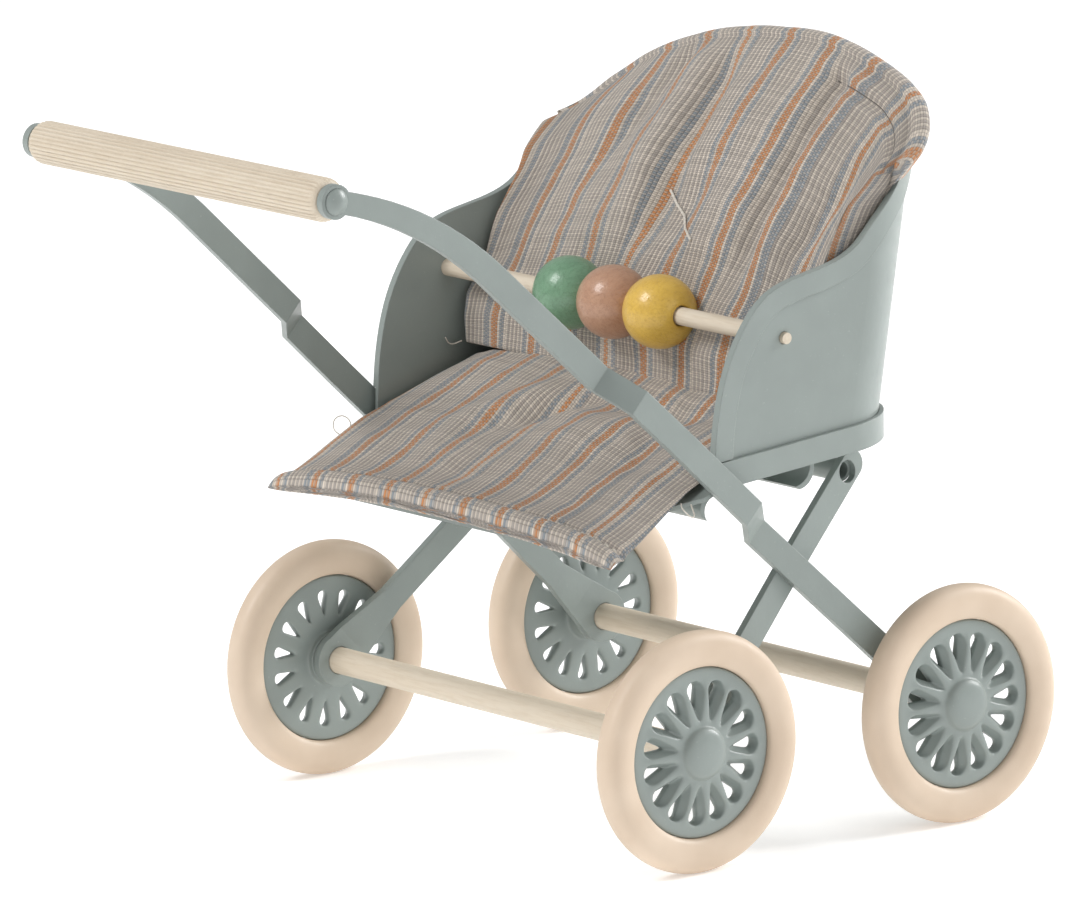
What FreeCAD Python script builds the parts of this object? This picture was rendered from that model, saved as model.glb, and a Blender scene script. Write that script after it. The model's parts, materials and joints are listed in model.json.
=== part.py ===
import FreeCAD, Part
import math
import os

import Sketcher
from FreeCAD import Placement, Rotation, Vector

# Doll stroller, millimetres. +X is the pusher's right, +Y the way it rolls, +Z up.
# The origin is on the ground, under the middle of the whole stroller. The seat faces the handle.

DIMENSIONS = [
    ("wheelbase", 44.6, "distance between the two axles"),
    ("front_axle_y", 41.6, "front axle, ahead of the origin"),
    ("wheel_radius", 16.0, "tyre, outside radius; also the axle height"),
    ("track_half", 39.3, "wheel mid plane from the middle"),
    ("tyre_half", 2.0, "half the tyre's width"),
    ("tyre_round", 1.8, "rounding of the tread's edges"),
    ("tyre_seat", 11.3, "radius where the tyre sits on the disc"),
    ("tyre_seat_half", 1.3, "half the tyre's width at the disc"),
    ("tyre_bulge", 12.6, "radius where the tyre reaches full width"),
    ("disc_half", 0.9, "half the wheel disc's thickness"),
    ("cap_radius", 3.9, "domed hub cap of the disc"),
    ("cap_top", 2.6, "top of the hub cap from the disc's mid plane"),
    ("cap_round", 1.5, "rounding of the hub cap"),
    ("boss_radius", 4.3, "boss on the disc's inner side"),
    ("bore_end", 0.7, "end of the blind bore for the axle"),
    ("petal_count", 15, "openings around the disc"),
    ("petal_tip", 4.6, "inner, pointed end of an opening"),
    ("petal_round", 8.4, "centre of an opening's round end"),
    ("petal_radius", 1.0, "radius of an opening's round end"),
    ("axle_radius", 1.8, "wooden axle"),
    ("axle_half", 39.9, "half the axle's length"),
    ("running_gap", 0.08, "radial clearance of the axles and pins"),
    ("side_gap", 0.2, "gap between a wheel boss and its paddle"),
    ("strip", 1.12, "thickness of the frame strips"),
    ("strip_width", 3.7, "width of the frame strips"),
    ("paddle_radius", 3.6, "round end of a strip at an axle"),
    ("paddle_reach", 11.0, "where a paddle has narrowed to the strip"),
    ("front_paddle_x", 35.25, "mid plane of the front paddles"),
    ("rear_paddle_x", 36.62, "mid plane of the rear paddles"),
    ("arm_slope", 42.5, "slope of the straight part of an arm, degrees"),
    ("arm_drop", 0.58, "how far the arm's centre line passes below the front axle"),
    ("arm_straight", 95.9, "straight part of an arm, from the front axle"),
    ("arm_neck", 2.9, "width of the arm where it meets the grip"),
    ("arm_top_x", 31.4, "mid plane of an arm at the grip"),
    ("arm_eye", 2.25, "radius of the arm's round end at the grip"),
    ("grip_y", -54.7, "grip axis"),
    ("grip_z", 93.2, "grip axis height"),
    ("grip_radius", 2.85, "fluted grip"),
    ("grip_half", 30.6, "half the grip's length"),
    ("grip_round", 1.3, "rounding of the grip's ends"),
    ("flute_count", 26, "flutes around the grip"),
    ("flute_radius", 0.26, "radius of a flute"),
    ("rod_radius", 0.8, "steel rod through the grip"),
    ("rivet_radius", 1.75, "domed rivet heads on the rod's ends"),
    ("rivet_height", 0.9, "height of a rivet head"),
    ("leg_slope", 43.0, "slope of a rear leg, degrees"),
    ("leg_length", 48.9, "rear leg, from the rear axle to its top"),
    ("leg_cross_x", 32.1, "mid plane of a leg where the arm crosses it"),
    ("leg_top_x", 29.15, "mid plane of a leg at its top"),
    ("tube_radius", 1.5, "cross tube between the legs' tops"),
    ("tube_wall", 0.4, "wall of the cross tube"),
    ("tube_y", 30.3, "cross tube"),
    ("tube_z", 47.2, "cross tube height"),
    ("sheet", 0.6, "thickness of the seat's sheet metal"),
    ("seat_half", 35.5, "half the shell's width, outside"),
    ("seat_back", 36.6, "outside of the shell's back, at the tray"),
    ("seat_corner", 9.7, "radius of the shell's rear corners"),
    ("seat_floor", 48.68, "underside of the tray at y 0"),
    ("seat_pitch", 5.15, "slope of the tray and the shell's foot, degrees"),
    ("back_lean", 9.6, "lean of the shell's back, degrees"),
    ("back_top", 99.8, "top of the shell's back"),
    ("back_arch", 53.0, "radius of the back's arched top"),
    ("hem_width", 3.0, "width of the hem folded outward along the shell's front edge"),
    ("hem_out", 0.5, "how far the hem stands out of the panel"),
    ("tray_wall", 3.5, "height of the tray's wall"),
    ("tray_gap", 0.06, "gap between the shell and the tray's wall"),
    ("lip_y", -10.45, "front edge of the tray's lip"),
    ("lip_z", 40.9, "underside of the lip at its front edge"),
    ("lip_half", 29.0, "half the lip's width"),
    ("bar_y", 15.4, "bead bar"),
    ("bar_z", 67.6, "bead bar height"),
    ("bar_radius", 1.2, "bead bar"),
    ("bar_half", 34.9, "half the bead bar between its shoulders"),
    ("tenon_radius", 0.75, "the bar's ends in the shell"),
    ("tenon_half", 36.1, "half the bead bar over its ends"),
    ("bead_radius", 4.97, "round beads"),
    ("bead_half", 4.58, "half a bead's length along the bar"),
    ("green_x", -8.9, "green bead"),
    ("brown_x", 0.35, "brown bead"),
    ("yellow_x", 10.0, "yellow bead"),
    ("cushion_half", 34.2, "half the cushions' width"),
    ("soft_gap", 0.45, "clearance around the soft pieces"),
]

doc = FreeCAD.newDocument("doll_stroller")
sheet = doc.addObject("Spreadsheet::Sheet", "dims")
for row, (alias, value, meaning) in enumerate(DIMENSIONS, start=1):
    sheet.set(f"A{row}", meaning)
    sheet.set(f"B{row}", str(value))
    sheet.setAlias(f"B{row}", alias)
doc.recompute()

UP = Vector(0, 0, 1)
RIGHT = Vector(1, 0, 0)
TURN_Z_TO_X = Rotation(Vector(0, 1, 0), 90)
FAR = 200.0
SIDES = (("right", 1), ("left", -1))
nodes = []


def dim(alias):
    """The number in the cell with this alias."""
    return float(sheet.get(alias))


def bind(obj, **expressions):
    """Binds properties of obj to the sheet: Placement_Base_x="dims.bar_y" binds Placement.Base.x."""
    for name, expression in expressions.items():
        obj.setExpression(name.replace("_", "."), expression)
    return obj


def keep(obj, label):
    """Marks obj as a sub-part, named label."""
    obj.Label = label
    nodes.append(obj)
    return obj


def feature(label, shape):
    """A sub-part whose shape is made here, from the sheet's numbers."""
    obj = doc.addObject("Part::Feature", label)
    obj.Shape = shape
    return keep(obj, label)


def cylinder_along_x(name, radius, half, y="0", z="0"):
    """A Part::Cylinder centred on x 0, with its axis along X through (y, z)."""
    obj = doc.addObject("Part::Cylinder", name)
    obj.Placement = Placement(Vector(), TURN_Z_TO_X)
    return bind(
        obj,
        Radius=radius,
        Height=f"2 * {half}",
        Placement_Base_x=f"-({half})",
        Placement_Base_y=y,
        Placement_Base_z=z,
    )


def cut(name, base, tool):
    """The Part::Cut of tool from base."""
    obj = doc.addObject("Part::Cut", name)
    obj.Base = base
    obj.Tool = tool
    return obj


# ---------------------------------------------------------------- PartDesign helpers


def plane_of(body, role):
    """One of the body's own origin planes or axes."""
    return next(item for item in body.Origin.OriginFeatures if item.Role == role)


def sketch_on(body, role, name):
    """An empty sketch on one of the body's origin planes."""
    sketch = body.newObject("Sketcher::SketchObject", name)
    sketch.AttachmentSupport = [(plane_of(body, role), "")]
    sketch.MapMode = "FlatFace"
    return sketch


def cell_value(term):
    """The number of an alias, or of "-alias", or zero for "0"."""
    if term == "0":
        return 0.0
    sign = -1.0 if term.startswith("-") else 1.0
    return sign * dim(term.lstrip("-"))


def cell_expression(term):
    """The expression of an alias, or of "-alias"."""
    return "-dims." + term[1:] if term.startswith("-") else "dims." + term


def place_point(sketch, line, end, axis, term):
    """Ties one coordinate of a line's end to a cell, or to the sketch's axis for "0"."""
    if term == "0":
        axis_line = -2 if axis == "DistanceX" else -1
        sketch.addConstraint(Sketcher.Constraint("PointOnObject", line, end, axis_line))
        return
    name = f"{axis}_{line}_{end}"
    index = sketch.addConstraint(Sketcher.Constraint(axis, line, end, cell_value(term)))
    sketch.renameConstraint(index, name)
    sketch.setExpression(f"Constraints.{name}", cell_expression(term))


def polygon(sketch, corners):
    """A closed polygon whose corners' coordinates are cells of the sheet."""
    points = [Vector(cell_value(u), cell_value(v), 0) for u, v in corners]
    count = len(points)
    for i in range(count):
        sketch.addGeometry(Part.LineSegment(points[i], points[(i + 1) % count]), False)
    for i in range(count):
        sketch.addConstraint(Sketcher.Constraint("Coincident", i, 2, (i + 1) % count, 1))
    for i, (u, v) in enumerate(corners):
        place_point(sketch, i, 1, "DistanceX", u)
        place_point(sketch, i, 1, "DistanceY", v)


def circle(sketch, u, v, radius):
    """A circle of a cell's radius, centred on coordinates that are cells."""
    centre = Vector(cell_value(u), cell_value(v), 0)
    index = sketch.addGeometry(Part.Circle(centre, UP, dim(radius)), False)
    size = sketch.addConstraint(Sketcher.Constraint("Radius", index, dim(radius)))
    sketch.renameConstraint(size, "radius")
    sketch.setExpression("Constraints.radius", "dims." + radius)
    place_point(sketch, index, 3, "DistanceX", u)
    place_point(sketch, index, 3, "DistanceY", v)


def revolved(body, name, corners):
    """A ring of the given half profile, about the body's Z axis."""
    sketch = sketch_on(body, "XZ_Plane", name + "_profile")
    polygon(sketch, corners)
    turned = body.newObject("PartDesign::Revolution", name)
    turned.Profile = sketch
    turned.ReferenceAxis = (sketch, ["V_Axis"])
    turned.Angle = 360
    sketch.Visibility = False
    doc.recompute()
    return turned


def round_edges(body, name, base, radius, chosen):
    """Fillets the circular edges of base that chosen(edge) picks, by a cell's radius."""
    edges = [
        f"Edge{i}"
        for i, edge in enumerate(base.Shape.Edges, start=1)
        if isinstance(edge.Curve, Part.Circle) and chosen(edge)
    ]
    fillet = body.newObject("PartDesign::Fillet", name)
    fillet.Base = (base, edges)
    fillet.Radius = dim(radius)
    bind(fillet, Radius="dims." + radius)
    doc.recompute()
    return fillet


def around(body, name, original, count):
    """Repeats original evenly about the body's Z axis, as often as a cell says."""
    pattern = body.newObject("PartDesign::PolarPattern", name)
    pattern.Originals = [original]
    pattern.Axis = (plane_of(body, "Z_Axis"), [""])
    pattern.Angle = 360
    pattern.Occurrences = int(dim(count))
    bind(pattern, Occurrences="dims." + count)
    body.Tip = pattern
    doc.recompute()
    return pattern


def new_body(label):
    return keep(doc.addObject("PartDesign::Body", label), label)


# ---------------------------------------------------------------- wheels and axles


def wheel_frame(body, side, axle_y):
    """Stands a wheel's own Z axis along its axle, pointing outward."""
    body.Placement = Placement(Vector(), Rotation(Vector(0, 1, 0), 90 * side))
    sign = "" if side > 0 else "-"
    bind(
        body,
        Placement_Base_x=sign + "dims.track_half",
        Placement_Base_y=axle_y,
        Placement_Base_z="dims.wheel_radius",
    )


def make_tyre(label, side, axle_y):
    """A rounded cream tyre, pressed onto its disc."""
    body = new_body(label)
    ring = revolved(
        body,
        "ring",
        [
            ("tyre_seat", "-tyre_seat_half"),
            ("tyre_bulge", "-tyre_half"),
            ("wheel_radius", "-tyre_half"),
            ("wheel_radius", "tyre_half"),
            ("tyre_bulge", "tyre_half"),
            ("tyre_seat", "tyre_seat_half"),
        ],
    )
    tread = dim("wheel_radius")
    round_edges(body, "rounding", ring, "tyre_round", lambda e: abs(e.Curve.Radius - tread) < 1e-6)
    wheel_frame(body, side, axle_y)


def make_disc(label, side, axle_y, boss_end):
    """A cast wheel disc: rim, petal openings, domed hub cap outside and a boss inside."""
    body = new_body(label)
    casting = revolved(
        body,
        "casting",
        [
            ("0", "bore_end"),
            ("axle_radius", "bore_end"),
            ("axle_radius", "-" + boss_end),
            ("boss_radius", "-" + boss_end),
            ("boss_radius", "-disc_half"),
            ("tyre_seat", "-disc_half"),
            ("tyre_seat", "disc_half"),
            ("cap_radius", "disc_half"),
            ("cap_radius", "cap_top"),
            ("0", "cap_top"),
        ],
    )
    cap = dim("cap_radius")
    top = dim("cap_top")
    dome = round_edges(
        body,
        "dome",
        casting,
        "cap_round",
        lambda e: abs(e.Curve.Radius - cap) < 1e-6 and abs(e.Curve.Center.z - top) < 1e-6,
    )
    whole = dome.Shape.Volume
    drop = sketch_on(body, "XY_Plane", "petal_round_sketch")
    circle(drop, "petal_round", "0", "petal_radius")
    hole = body.newObject("PartDesign::Pocket", "petal_end")
    hole.Profile = drop
    hole.Type = 1
    hole.Midplane = True
    wedge = sketch_on(body, "XY_Plane", "petal_wedge_sketch")
    polygon(
        wedge,
        [("petal_tip", "0"), ("petal_round", "-petal_radius"), ("petal_round", "petal_radius")],
    )
    point = body.newObject("PartDesign::Pocket", "petal_point")
    point.Profile = wedge
    point.Type = 1
    point.Midplane = True
    doc.recompute()
    pattern = around(body, "petals", hole, "petal_count")
    pattern.Originals = [hole, point]
    doc.recompute()
    if not body.Shape.Volume < whole:
        raise RuntimeError(label + ": the petals were not cut")
    wheel_frame(body, side, axle_y)


def add_boss_cells():
    """The bosses reach from the disc to just short of the paddles."""
    row = len(DIMENSIONS) + 1
    for alias, paddle in (("front_boss", "front_paddle_x"), ("rear_boss", "rear_paddle_x")):
        reach = dim("track_half") - dim(paddle) - dim("strip") / 2 - dim("side_gap")
        sheet.set(f"A{row}", "inner end of the boss from the disc's mid plane")
        sheet.set(f"B{row}", str(round(reach, 4)))
        sheet.setAlias(f"B{row}", alias)
        row += 1
    doc.recompute()


add_boss_cells()
FRONT_Y = "dims.front_axle_y"
REAR_Y = "dims.front_axle_y - dims.wheelbase"
for end, axle_y in (("front", FRONT_Y), ("rear", REAR_Y)):
    axle = cylinder_along_x(
        end + "_axle", "dims.axle_radius", "dims.axle_half", axle_y, "dims.wheel_radius"
    )
    keep(axle, end + "_axle")
    for name, side in SIDES:
        make_tyre(f"tyre_{end}_{name}", side, axle_y)
        make_disc(f"wheel_{end}_{name}", side, axle_y, end + "_boss")


# ---------------------------------------------------------------- grip


def make_grip():
    """A fluted wooden grip that turns on its rod."""
    body = new_body("grip")
    dowel = revolved(
        body,
        "dowel",
        [("0", "-grip_half"), ("grip_radius", "-grip_half"), ("grip_radius", "grip_half"), ("0", "grip_half")],
    )
    ends = round_edges(
        body, "ends", dowel, "grip_round", lambda e: abs(e.Curve.Radius - dim("grip_radius")) < 1e-6
    )
    before = ends.Shape.Volume
    groove = sketch_on(body, "XY_Plane", "flute_sketch")
    circle(groove, "grip_radius", "0", "flute_radius")
    flute = body.newObject("PartDesign::Pocket", "flute")
    flute.Profile = groove
    flute.Type = 1
    flute.Midplane = True
    doc.recompute()
    around(body, "flutes", flute, "flute_count")
    if not body.Shape.Volume < before:
        raise RuntimeError("the grip's flutes were not cut")
    bore = body.newObject("PartDesign::SubtractiveCylinder", "bore")
    bind(bore, Radius="dims.rod_radius + dims.running_gap", Height="4 * dims.grip_half")
    bore.AttachmentOffset = Placement(Vector(0, 0, -2 * dim("grip_half")), Rotation())
    bore.AttachmentSupport = [(plane_of(body, "XY_Plane"), "")]
    bore.MapMode = "FlatFace"
    body.Tip = bore
    doc.recompute()
    body.Placement = Placement(Vector(), TURN_Z_TO_X)
    bind(body, Placement_Base_y="dims.grip_y", Placement_Base_z="dims.grip_z")


def make_rivets():
    """The domed heads on both ends of the grip's rod: two solids in one node."""
    outer = dim("arm_top_x") + dim("strip") / 2
    radius = dim("rivet_radius")
    height = dim("rivet_height")
    ball = (radius**2 + height**2) / (2 * height)
    heads = []
    for _, side in SIDES:
        centre = Vector(side * (outer + height - ball), dim("grip_y"), dim("grip_z"))
        slab = Part.makeCylinder(ball, height, Vector(side * outer, centre.y, centre.z), RIGHT * side)
        heads.append(Part.makeSphere(ball, centre).common(slab))
    feature("grip_rivets", Part.makeCompound(heads))


make_grip()
keep(
    cylinder_along_x(
        "grip_rod", "dims.rod_radius", "dims.arm_top_x + dims.strip / 2", "dims.grip_y", "dims.grip_z"
    ),
    "grip_rod",
)
make_rivets()


# ---------------------------------------------------------------- frame strips


def side_point(y, z):
    return Vector(0, y, z)


def prism_across(face):
    """A flat side outline, extruded right across the stroller."""
    face.translate(Vector(-FAR / 2, 0, 0))
    return face.extrude(Vector(FAR, 0, 0))


def outline_face(points):
    return Part.Face(Part.makePolygon([*points, points[0]]))


class Strip:
    """Places on a straight strip: how far along it, and how far to its side."""

    def __init__(self, start, degrees, backward):
        sign = -1 if backward else 1
        angle = math.radians(degrees)
        self.start = start
        self.along = Vector(0, sign * math.cos(angle), math.sin(angle))
        self.across = Vector(0, sign * math.sin(angle) * -1, math.cos(angle))

    def at(self, distance, offset=0.0):
        return self.start + self.along * distance + self.across * offset

    def paddle(self, low, high):
        """The round end at the axle, narrowing to the strip from low to high, with no hole yet."""
        radius = dim("paddle_radius")
        reach = dim("paddle_reach")
        eye = Part.Face(Part.Wire(Part.makeCircle(radius, self.start, RIGHT)))
        taper = outline_face(
            [self.at(0, -radius), self.at(reach, low), self.at(reach, high), self.at(0, radius)]
        )
        return [prism_across(eye), prism_across(taper)]

    def ribbon(self, stations):
        """A wall of the strip's thickness that follows the mid planes at the given stations."""
        half = dim("strip") / 2
        lower = [self.at(s, -FAR / 2) + RIGHT * (x - half) for s, x in stations]
        upper = [self.at(s, -FAR / 2) + RIGHT * (x + half) for s, x in reversed(stations)]
        return outline_face(lower + upper).extrude(self.across * FAR)


def mirrored(shape):
    return shape.mirror(Vector(), RIGHT)


def hole_through(y, z, radius):
    return Part.makeCylinder(radius, FAR, Vector(-FAR / 2, y, z), RIGHT)


def arm_shape():
    """The right arm: paddle, straight strip with two joggles, and a bend up to the grip."""
    axle = side_point(dim("front_axle_y"), dim("wheel_radius"))
    strip = Strip(axle, dim("arm_slope"), backward=True)
    drop = -dim("arm_drop")
    half = dim("strip_width") / 2
    length = dim("arm_straight")
    grip = side_point(dim("grip_y"), dim("grip_z"))
    rise = grip - strip.at(length, drop)
    radius = -rise.dot(rise) / (2 * rise.dot(strip.across))
    centre = strip.at(length, drop - radius)
    start_angle = math.atan2(strip.across.z, strip.across.y)
    end_angle = math.atan2(grip.z - centre.z, grip.y - centre.y)

    def on_bend(share, offset):
        turn = start_angle + (end_angle - start_angle) * share
        return centre + Vector(0, math.cos(turn), math.sin(turn)) * (radius + offset)

    neck = dim("arm_neck") / 2
    middle = (half + neck) / 2
    bend = Part.Face(
        Part.Wire(
            [
                Part.Arc(on_bend(0, half), on_bend(0.5, middle), on_bend(1, neck)).toShape(),
                Part.LineSegment(on_bend(1, neck), on_bend(1, -neck)).toShape(),
                Part.Arc(on_bend(1, -neck), on_bend(0.5, -middle), on_bend(0, -half)).toShape(),
                Part.LineSegment(on_bend(0, -half), on_bend(0, half)).toShape(),
            ]
        )
    )
    eye = Part.Face(Part.Wire(Part.makeCircle(dim("arm_eye"), grip, RIGHT)))
    low = drop - half
    high = drop + half
    reach = dim("paddle_reach")
    bar = outline_face(
        [strip.at(reach, low), strip.at(length, low), strip.at(length, high), strip.at(reach, high)]
    )
    pieces = [*strip.paddle(low, high), prism_across(bar), prism_across(bend), prism_across(eye)]
    outline = pieces[0].multiFuse(pieces[1:]).removeSplitter()
    ribbon = strip.ribbon(
        [
            (-6.0, dim("front_paddle_x")),
            (5.0, dim("front_paddle_x")),
            (39.2, 32.85),
            (44.3, 36.95),
            (58.0, 36.85),
            (69.4, 36.4),
            (73.8, 32.35),
            (96.0, 31.75),
            (130.0, dim("arm_top_x") - 0.15),
        ]
    )
    arm = outline.common(ribbon)
    arm = arm.cut(hole_through(axle.y, axle.z, dim("axle_radius") + dim("running_gap")))
    return arm.cut(hole_through(grip.y, grip.z, dim("rod_radius")))


def leg_shape():
    """The right rear leg: a paddle at the rear axle and a strip up to the cross tube."""
    axle = side_point(dim("front_axle_y") - dim("wheelbase"), dim("wheel_radius"))
    strip = Strip(axle, dim("leg_slope"), backward=False)
    half = dim("strip_width") / 2
    length = dim("leg_length")
    end = length - half
    bar = outline_face([strip.at(0, -half), strip.at(end, -half), strip.at(end, half), strip.at(0, half)])
    top = Part.Face(Part.Wire(Part.makeCircle(half, strip.at(end), RIGHT)))
    pieces = [*strip.paddle(-half, half), prism_across(bar), prism_across(top)]
    outline = pieces[0].multiFuse(pieces[1:]).removeSplitter()
    ribbon = strip.ribbon(
        [
            (-6.0, dim("rear_paddle_x")),
            (3.2, dim("rear_paddle_x")),
            (29.5, dim("leg_cross_x")),
            (length + 1.0, dim("leg_top_x")),
        ]
    )
    leg = outline.common(ribbon)
    leg = leg.cut(hole_through(axle.y, axle.z, dim("axle_radius") + dim("running_gap")))
    return leg.cut(hole_through(dim("tube_y"), dim("tube_z"), dim("tube_radius")))


for part_name, make in (("arm", arm_shape), ("leg", leg_shape)):
    right = make()
    feature(part_name + "_right", right)
    feature(part_name + "_left", mirrored(right))

TUBE_HALF = "dims.leg_top_x + 1"
tube = cut(
    "cross_tube",
    cylinder_along_x("tube_outside", "dims.tube_radius", TUBE_HALF, "dims.tube_y", "dims.tube_z"),
    cylinder_along_x(
        "tube_inside", "dims.tube_radius - dims.tube_wall", "dims.seat_half", "dims.tube_y", "dims.tube_z"
    ),
)
keep(tube, "cross_tube")


# ---------------------------------------------------------------- seat shell

PITCH = math.tan(math.radians(dim("seat_pitch")))
LEAN = math.tan(math.radians(dim("back_lean")))
FOOT_Z = dim("seat_floor") + PITCH * dim("seat_back") + dim("tray_wall")


def floor_z(y):
    """Height of the tray's underside at y, on its flat part."""
    return dim("seat_floor") + PITCH * y


def u_section(z, inset):
    """The seat's plan at height z: straight sides, round rear corners, closed far in front."""
    half = dim("seat_half") - inset
    corner = dim("seat_corner") - inset
    back = dim("seat_back") - inset + LEAN * (z - FOOT_Z)
    inner = half - corner
    diagonal = corner * math.sqrt(0.5)
    front = -40.0
    edges = [
        Part.LineSegment(Vector(half, front, z), Vector(half, back - corner, z)),
        Part.Arc(
            Vector(half, back - corner, z),
            Vector(inner + diagonal, back - corner + diagonal, z),
            Vector(inner, back, z),
        ),
        Part.LineSegment(Vector(inner, back, z), Vector(-inner, back, z)),
        Part.Arc(
            Vector(-inner, back, z),
            Vector(-inner - diagonal, back - corner + diagonal, z),
            Vector(-half, back - corner, z),
        ),
        Part.LineSegment(Vector(-half, back - corner, z), Vector(-half, front, z)),
        Part.LineSegment(Vector(-half, front, z), Vector(half, front, z)),
    ]
    return Part.Wire([edge.toShape() for edge in edges])


def seat_volume(inset):
    """Everything inside the shell's outer surface, less inset."""
    return Part.makeLoft([u_section(30.0, inset), u_section(115.0, inset)], True, True)


def under_arch(inset):
    """Everything below the back's arched top, less inset."""
    radius = dim("back_arch") - inset
    centre = Vector(0, -FAR / 2, dim("back_top") - dim("back_arch"))
    drum = Part.makeCylinder(radius, FAR, centre, Vector(0, 1, 0))
    low = Part.makeBox(FAR, FAR, FAR, Vector(-FAR / 2, -FAR / 2, 66.0 - FAR))
    return drum.fuse(low)


# The panel's front edge and arm rest, from the foot up to the back.
PANEL_EDGE = [
    (3.15, 50.0),
    (3.35, 54.5),
    (3.95, 59.0),
    (5.45, 64.4),
    (8.55, 70.0),
    (12.25, 73.6),
    (16.65, 75.2),
    (22.65, 76.4),
    (27.15, 78.2),
    (30.75, 81.6),
    (34.35, 85.2),
    (37.05, 91.0),
]


def panel_curve(offset=0.0):
    """The panel's edge as a smooth curve in the side view, moved outward by offset."""
    spline = Part.BSplineCurve()
    points = [side_point(y, z) for y, z in PANEL_EDGE]
    spline.interpolate(points)
    if not offset:
        return spline
    moved = []
    for point in points:
        tangent = spline.tangent(spline.parameter(point))[0]
        moved.append(point + Vector(0, -tangent.z, tangent.y) * offset)
    shifted = Part.BSplineCurve()
    shifted.interpolate(moved)
    return shifted


def behind_edge(offset=0.0):
    """Everything behind and below the panels' edge, moved outward by offset, in the side view."""
    curve = panel_curve(offset)
    low = curve.StartPoint
    high = curve.EndPoint
    lines = [
        (high, side_point(high.y, 130)),
        (side_point(high.y, 130), side_point(80, 130)),
        (side_point(80, 130), side_point(80, 30)),
        (side_point(80, 30), side_point(low.y, 30)),
        (side_point(low.y, 30), low),
    ]
    edges = [curve.toShape()] + [Part.LineSegment(a, b).toShape() for a, b in lines]
    return prism_across(Part.Face(Part.Wire(edges)))


def above_foot(gap):
    """Everything above the shell's foot, which stands on the tray's floor."""
    base = outline_face(
        [
            side_point(-60, floor_z(-60) + dim("sheet") + gap),
            side_point(90, floor_z(90) + dim("sheet") + gap),
            side_point(90, 140),
            side_point(-60, 140),
        ]
    )
    return prism_across(base)


def shell_shape():
    """The seat shell: two hemmed side panels and a leaning, arched back, bent from one sheet."""
    region = behind_edge().common(under_arch(0.0)).common(above_foot(0.02))
    wall = seat_volume(0.0).cut(seat_volume(dim("sheet"))).common(region)
    hem = seat_volume(-dim("hem_out")).cut(seat_volume(dim("sheet") / 2)).common(region)
    hem = hem.cut(behind_edge(-dim("hem_width"))).common(above_foot(dim("tray_wall") - dim("sheet") + 0.1))
    shell = wall.fuse(hem)
    tenon = hole_through(dim("bar_y"), dim("bar_z"), dim("tenon_radius") + dim("running_gap"))
    return shell.cut(tenon)


# ---------------------------------------------------------------- tray


def lip_profile(drop, far=60.0):
    """The tray's underside in the side view, lowered by drop: flat, then a bend down to the lip."""
    bend = side_point(4.15, floor_z(4.15) - drop)
    knee = side_point(-3.45, floor_z(-3.45) - 2.9 - drop)
    tip = side_point(dim("lip_y"), dim("lip_z") - drop)
    rear = side_point(far, floor_z(far) - drop)
    return [Part.LineSegment(rear, bend).toShape(), Part.Arc(bend, knee, tip).toShape()]


def floor_band(top, bottom):
    """The slab between the underside raised by top and by bottom."""
    upper = lip_profile(-top)
    lower = lip_profile(-bottom)
    ends = [
        Part.LineSegment(upper[1].Vertexes[1].Point, lower[1].Vertexes[1].Point).toShape(),
        Part.LineSegment(upper[0].Vertexes[0].Point, lower[0].Vertexes[0].Point).toShape(),
    ]
    wire = Part.Wire(Part.__sortEdges__(upper + lower + ends))
    return prism_across(Part.Face(wire))


def rounded_plan(half, rear, corner, front, nose_half, nose):
    """An upright prism over a plan with round rear corners, and a narrower front with round corners."""
    bow = math.sqrt(0.5)
    neck = 1.15
    edges = []

    def line(ax, ay, bx, by):
        edges.append(Part.LineSegment(Vector(ax, ay, 0), Vector(bx, by, 0)).toShape())

    def arc(cx, cy, radius, sx, sy):
        start = Vector(cx + radius * sx, cy, 0)
        middle = Vector(cx + radius * sx * bow, cy + radius * sy * bow, 0)
        end = Vector(cx, cy + radius * sy, 0)
        edges.append(Part.Arc(start, middle, end).toShape())

    for sign in (1, -1):
        line(sign * half, neck, sign * half, rear - corner)
        arc(sign * (half - corner), rear - corner, corner, sign, 1)
        line(sign * half, neck, sign * nose_half, front + nose)
        arc(sign * (nose_half - nose), front + nose, nose, sign, -1)
    line(half - corner, rear, corner - half, rear)
    line(nose_half - nose, front, nose - nose_half, front)
    wire = Part.Wire(Part.__sortEdges__(edges))
    return Part.Face(wire).extrude(Vector(0, 0, FAR))


def tray_plan(inset):
    """The tray's plan: it follows the shell's foot, and narrows to the lip."""
    reach = dim("tray_gap") + dim("sheet") - inset
    return rounded_plan(
        dim("seat_half") + reach,
        dim("seat_back") + reach,
        dim("seat_corner") + reach,
        dim("lip_y") + inset,
        dim("lip_half") - inset,
        6.0 - inset,
    )


def tray_shape():
    """The tray under the seat: a floor with a wall round the shell's foot and a rolled-down lip."""
    thick = dim("sheet")
    block = tray_plan(0.0).common(floor_band(dim("tray_wall"), 0.0))
    hollow = tray_plan(thick).common(floor_band(dim("tray_wall") + 1.0, thick))
    tray = block.cut(hollow)
    ahead = Part.makeBox(FAR, FAR, FAR, Vector(-FAR / 2, 3.75 - FAR, 0))
    front_wall = ahead.common(floor_band(dim("tray_wall") + 1.0, thick))
    return tray.cut(front_wall)


# ---------------------------------------------------------------- cross rails


def rail_shape(top, foot, bulge, half):
    """A curved rail under the tray, from top to foot, bulging along Y by bulge."""
    thick = 0.8
    chord = foot - top
    out = Vector(0, -chord.z, chord.y).normalize()
    middle = (top + foot) / 2
    side = out * thick / 2
    outer = Part.Arc(top + side, middle + out * bulge + side, foot + side)
    inner = Part.Arc(foot - side, middle + out * bulge - side, top - side)
    edges = [
        outer.toShape(),
        Part.LineSegment(foot + side, foot - side).toShape(),
        inner.toShape(),
        Part.LineSegment(top - side, top + side).toShape(),
    ]
    face = Part.Face(Part.Wire(edges))
    face.translate(Vector(-half, 0, 0))
    return face.extrude(Vector(2 * half, 0, 0))


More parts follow.
